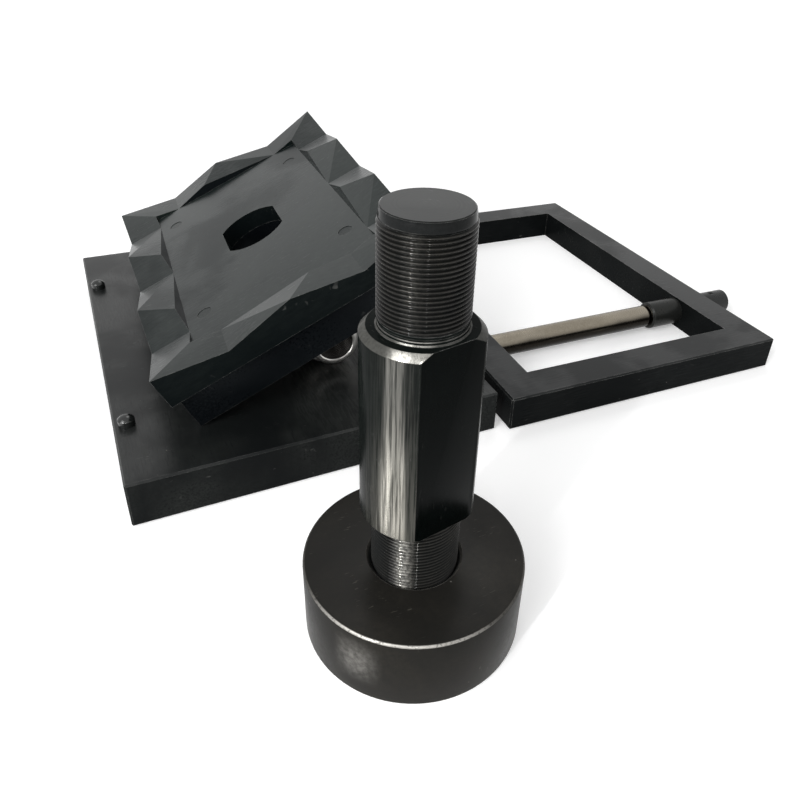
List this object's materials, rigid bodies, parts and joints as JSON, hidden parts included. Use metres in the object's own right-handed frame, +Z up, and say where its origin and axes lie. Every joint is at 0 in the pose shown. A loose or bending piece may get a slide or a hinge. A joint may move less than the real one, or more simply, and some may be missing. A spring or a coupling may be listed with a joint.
{
  "type": "hydraulic knockout punch set",
  "caption": "Rectangular knockout punch with shear teeth, open die, base plate, draw stud with double-D body, round counter nut and adapter, laid out on a bench.",
  "frame": {"origin": "centre of the base plate's register bore, on the underside", "axes": "+Z up, +X across the base plate from left to right, +Y from front to back"},
  "size_m": [0.4042, 0.3865, 0.1706],
  "materials": {
    "blackened_steel": "black oxide, satin",
    "dark_steel": "dark turned steel",
    "polished_steel": "polished"
  },
  "bodies": {
    "base_plate": {"base_plate": "blackened_steel", "guide_bush": "dark_steel", "bush_screw_1": "dark_steel", "bush_screw_2": "dark_steel", "bush_screw_3": "dark_steel", "bush_screw_4": "dark_steel", "locating_pin_1": "dark_steel", "locating_pin_2": "dark_steel", "locating_pin_3": "dark_steel", "locating_pin_4": "dark_steel"},
    "die": {"die_frame": "blackened_steel", "bar_bush": "dark_steel"},
    "cross_bar": {"cross_bar": "polished_steel", "bar_knob": "blackened_steel", "knob_screw": "dark_steel"},
    "punch": {"punch_cutter": "blackened_steel", "punch_backing": "blackened_steel", "punch_screw_1": "dark_steel", "punch_screw_2": "dark_steel", "punch_screw_3": "dark_steel", "punch_screw_4": "dark_steel"},
    "adapter": {"adapter": "polished_steel"},
    "draw_stud": {"draw_stud": "dark_steel"},
    "counter_nut": {"counter_nut": "blackened_steel"}
  },
  "joints": [
    {"name": "die_lift", "type": "slide", "parent": "base_plate", "child": "die", "axis": [0, 0, 1], "range_m": [0, 0.13]},
    {"name": "bar_draw", "type": "slide", "parent": "die", "child": "cross_bar", "axis": [0.9996, -0.0297, 0], "range_m": [0, 0.145]},
    {"name": "punch_tilt", "type": "hinge", "parent": "base_plate", "child": "punch", "pos_m": [-0.0499, 0.005, 0.0241], "axis": [-0.048, -0.9988, 0], "range_deg": [0, 40]},
    {"name": "adapter_roll", "type": "slide", "parent": "base_plate", "child": "adapter", "axis": [0.9988, -0.048, 0], "range_m": [0, 0.04]},
    {"name": "nut_turn", "type": "hinge", "parent": "base_plate", "child": "counter_nut", "pos_m": [0.0031, -0.2171, 0], "axis": [0, 0, -1], "range_deg": [0, 6480]},
    {"name": "stud_rise", "type": "slide", "parent": "base_plate", "child": "draw_stud", "axis": [0, 0, 1], "range_m": [0, 0.0271]}
  ],
  "couplings": [
    {"joint": "stud_rise", "follows": "nut_turn", "m_per_rad": 0.00023873}
  ]
}
